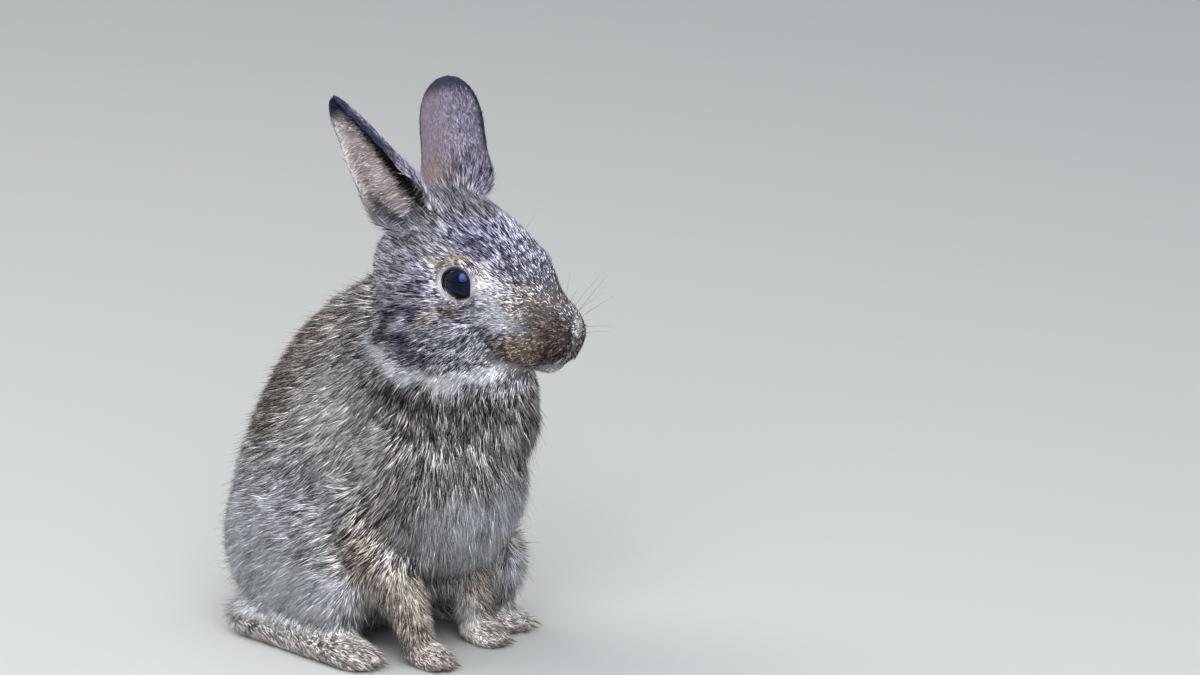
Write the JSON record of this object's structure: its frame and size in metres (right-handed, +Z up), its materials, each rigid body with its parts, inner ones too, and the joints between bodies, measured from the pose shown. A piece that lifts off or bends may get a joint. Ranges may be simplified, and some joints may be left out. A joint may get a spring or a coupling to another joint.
{
  "type": "young cottontail rabbit",
  "caption": "Still, life-size model of a young cottontail rabbit sitting up on its haunches with its forefeet on the floor and its head turned a little to its left.",
  "frame": {"origin": "on the floor, under the middle of the whole animal's box", "axes": "+X the way the body faces, +Y the animal's left, +Z up"},
  "size_m": [0.1083, 0.0649, 0.1406],
  "materials": {
    "grey_coat": "soft grizzled grey-brown coat",
    "buff_coat": "short pinkish buff coat of the legs and feet",
    "white_coat": "soft off-white coat of the scut",
    "ear_coat": "very short, thin grey coat of the ears",
    "eye_gloss": "wet, glossy, near-black eye",
    "claw_horn": "smooth dark horn"
  },
  "bodies": {
    "root": {"head": "grey_coat", "neck": "grey_coat", "trunk": "grey_coat", "hindleg_left": "grey_coat", "hindleg_right": "grey_coat", "foreleg_left": "buff_coat", "foreleg_right": "buff_coat", "forepaw_left": "buff_coat", "forepaw_right": "buff_coat", "hindfoot_left": "buff_coat", "hindfoot_right": "buff_coat", "tail": "white_coat", "ear_left": "ear_coat", "ear_right": "ear_coat", "eye_left": "eye_gloss", "eye_right": "eye_gloss", "claw_forepaw_left_1": "claw_horn", "claw_forepaw_left_2": "claw_horn", "claw_forepaw_left_3": "claw_horn", "claw_forepaw_left_4": "claw_horn", "claw_forepaw_right_1": "claw_horn", "claw_forepaw_right_2": "claw_horn", "claw_forepaw_right_3": "claw_horn", "claw_forepaw_right_4": "claw_horn", "claw_hindfoot_left_1": "claw_horn", "claw_hindfoot_left_2": "claw_horn", "claw_hindfoot_left_3": "claw_horn", "claw_hindfoot_left_4": "claw_horn", "claw_hindfoot_right_1": "claw_horn", "claw_hindfoot_right_2": "claw_horn", "claw_hindfoot_right_3": "claw_horn", "claw_hindfoot_right_4": "claw_horn"}
  },
  "joints": []
}
